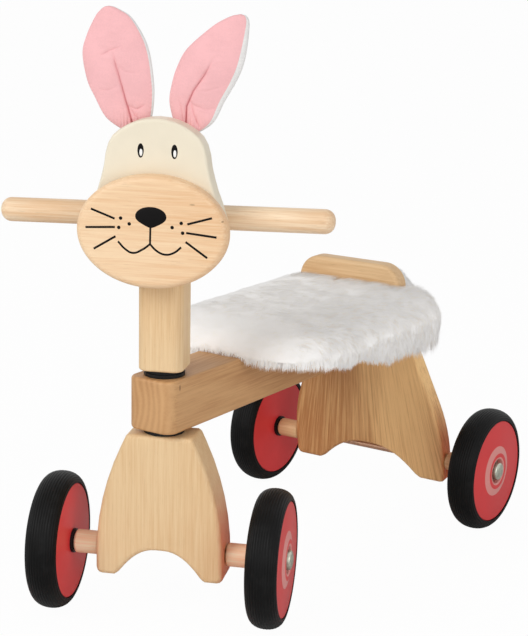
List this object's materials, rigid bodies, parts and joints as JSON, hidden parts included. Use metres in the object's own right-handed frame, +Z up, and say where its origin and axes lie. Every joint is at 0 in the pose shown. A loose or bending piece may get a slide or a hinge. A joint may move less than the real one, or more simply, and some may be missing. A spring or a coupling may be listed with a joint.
{
  "type": "ride-on toy",
  "caption": "Wooden rabbit ride-on toy: steered fork with rabbit head and handlebar, rubber-tyred wheels, beam, plush seat, low backrest and round plush tail.",
  "frame": {"origin": "on the floor, under the middle of the whole toy's box at rest", "axes": "-Y is forwards, the way the rider and the rabbit face; +X is the rider's left side; +Z is up"},
  "size_m": [0.3146, 0.5604, 0.565],
  "materials": {
    "natural_wood": "clear matt lacquer",
    "zinc_steel": "zinc plated",
    "black_plastic": "moulded",
    "cream_paint": "cream paint",
    "red_paint": "glossy red",
    "black_rubber": "fine grooved",
    "white_plush": "long white pile",
    "pink_cotton": "woven cotton"
  },
  "bodies": {
    "chassis": {"beam": "natural_wood", "lower_steering_bush": "black_plastic", "upper_steering_bush": "black_plastic", "rear_panel": "natural_wood", "rear_axle": "zinc_steel", "axle_spacer_rear_left": "natural_wood", "axle_spacer_rear_right": "natural_wood", "cap_nut_rear_left": "zinc_steel", "cap_nut_rear_right": "zinc_steel", "panel_bolt_left": "zinc_steel", "panel_bolt_right": "zinc_steel", "barrel_nut_left": "zinc_steel", "barrel_nut_right": "zinc_steel", "seat_board": "natural_wood", "seat_screw_front": "zinc_steel", "seat_screw_middle": "zinc_steel", "seat_screw_rear_left": "zinc_steel", "seat_screw_rear_right": "zinc_steel", "backrest": "natural_wood", "backrest_screw_left": "zinc_steel", "backrest_screw_right": "zinc_steel", "seat_cushion": "white_plush", "tail": "white_plush", "tail_peg": "natural_wood"},
    "steering": {"fork_block": "natural_wood", "axle_pin_front_left": "zinc_steel", "axle_pin_front_right": "zinc_steel", "axle_spacer_front_left": "natural_wood", "axle_spacer_front_right": "natural_wood", "cap_nut_front_left": "zinc_steel", "cap_nut_front_right": "zinc_steel", "thrust_washer": "black_plastic", "steering_bolt": "zinc_steel", "steering_barrel_nut": "zinc_steel", "head_post": "natural_wood", "handlebar": "natural_wood", "handlebar_screw": "zinc_steel", "head_board": "cream_paint", "muzzle": "natural_wood", "muzzle_dowel_left": "natural_wood", "muzzle_dowel_right": "natural_wood", "post_dowel_upper": "natural_wood", "post_dowel_lower": "natural_wood", "ear_left": "pink_cotton", "ear_right": "pink_cotton", "ear_peg_left": "natural_wood", "ear_peg_right": "natural_wood"},
    "wheel_front_left": {"tyre_front_left": "black_rubber", "disc_front_left": "red_paint", "hub_bush_front_left": "black_plastic"},
    "wheel_front_right": {"tyre_front_right": "black_rubber", "disc_front_right": "red_paint", "hub_bush_front_right": "black_plastic"},
    "wheel_rear_left": {"tyre_rear_left": "black_rubber", "disc_rear_left": "red_paint", "hub_bush_rear_left": "black_plastic"},
    "wheel_rear_right": {"tyre_rear_right": "black_rubber", "disc_rear_right": "red_paint", "hub_bush_rear_right": "black_plastic"}
  },
  "joints": [
    {"name": "steering_turn", "type": "hinge", "parent": "chassis", "child": "steering", "pos_m": [0, -0.17981, 0.2], "axis": [0, 0, 1], "continuous": true},
    {"name": "spin_front_left", "type": "hinge", "parent": "steering", "child": "wheel_front_left", "pos_m": [0.09531, -0.1413, 0.065], "axis": [0.9272, 0.3746, 0], "continuous": true},
    {"name": "spin_front_right", "type": "hinge", "parent": "steering", "child": "wheel_front_right", "pos_m": [-0.09531, -0.21832, 0.065], "axis": [0.9272, 0.3746, 0], "continuous": true},
    {"name": "spin_rear_left", "type": "hinge", "parent": "chassis", "child": "wheel_rear_left", "pos_m": [0.1373, 0.21519, 0.065], "axis": [1, 0, 0], "continuous": true},
    {"name": "spin_rear_right", "type": "hinge", "parent": "chassis", "child": "wheel_rear_right", "pos_m": [-0.1373, 0.21519, 0.065], "axis": [1, 0, 0], "continuous": true}
  ]
}
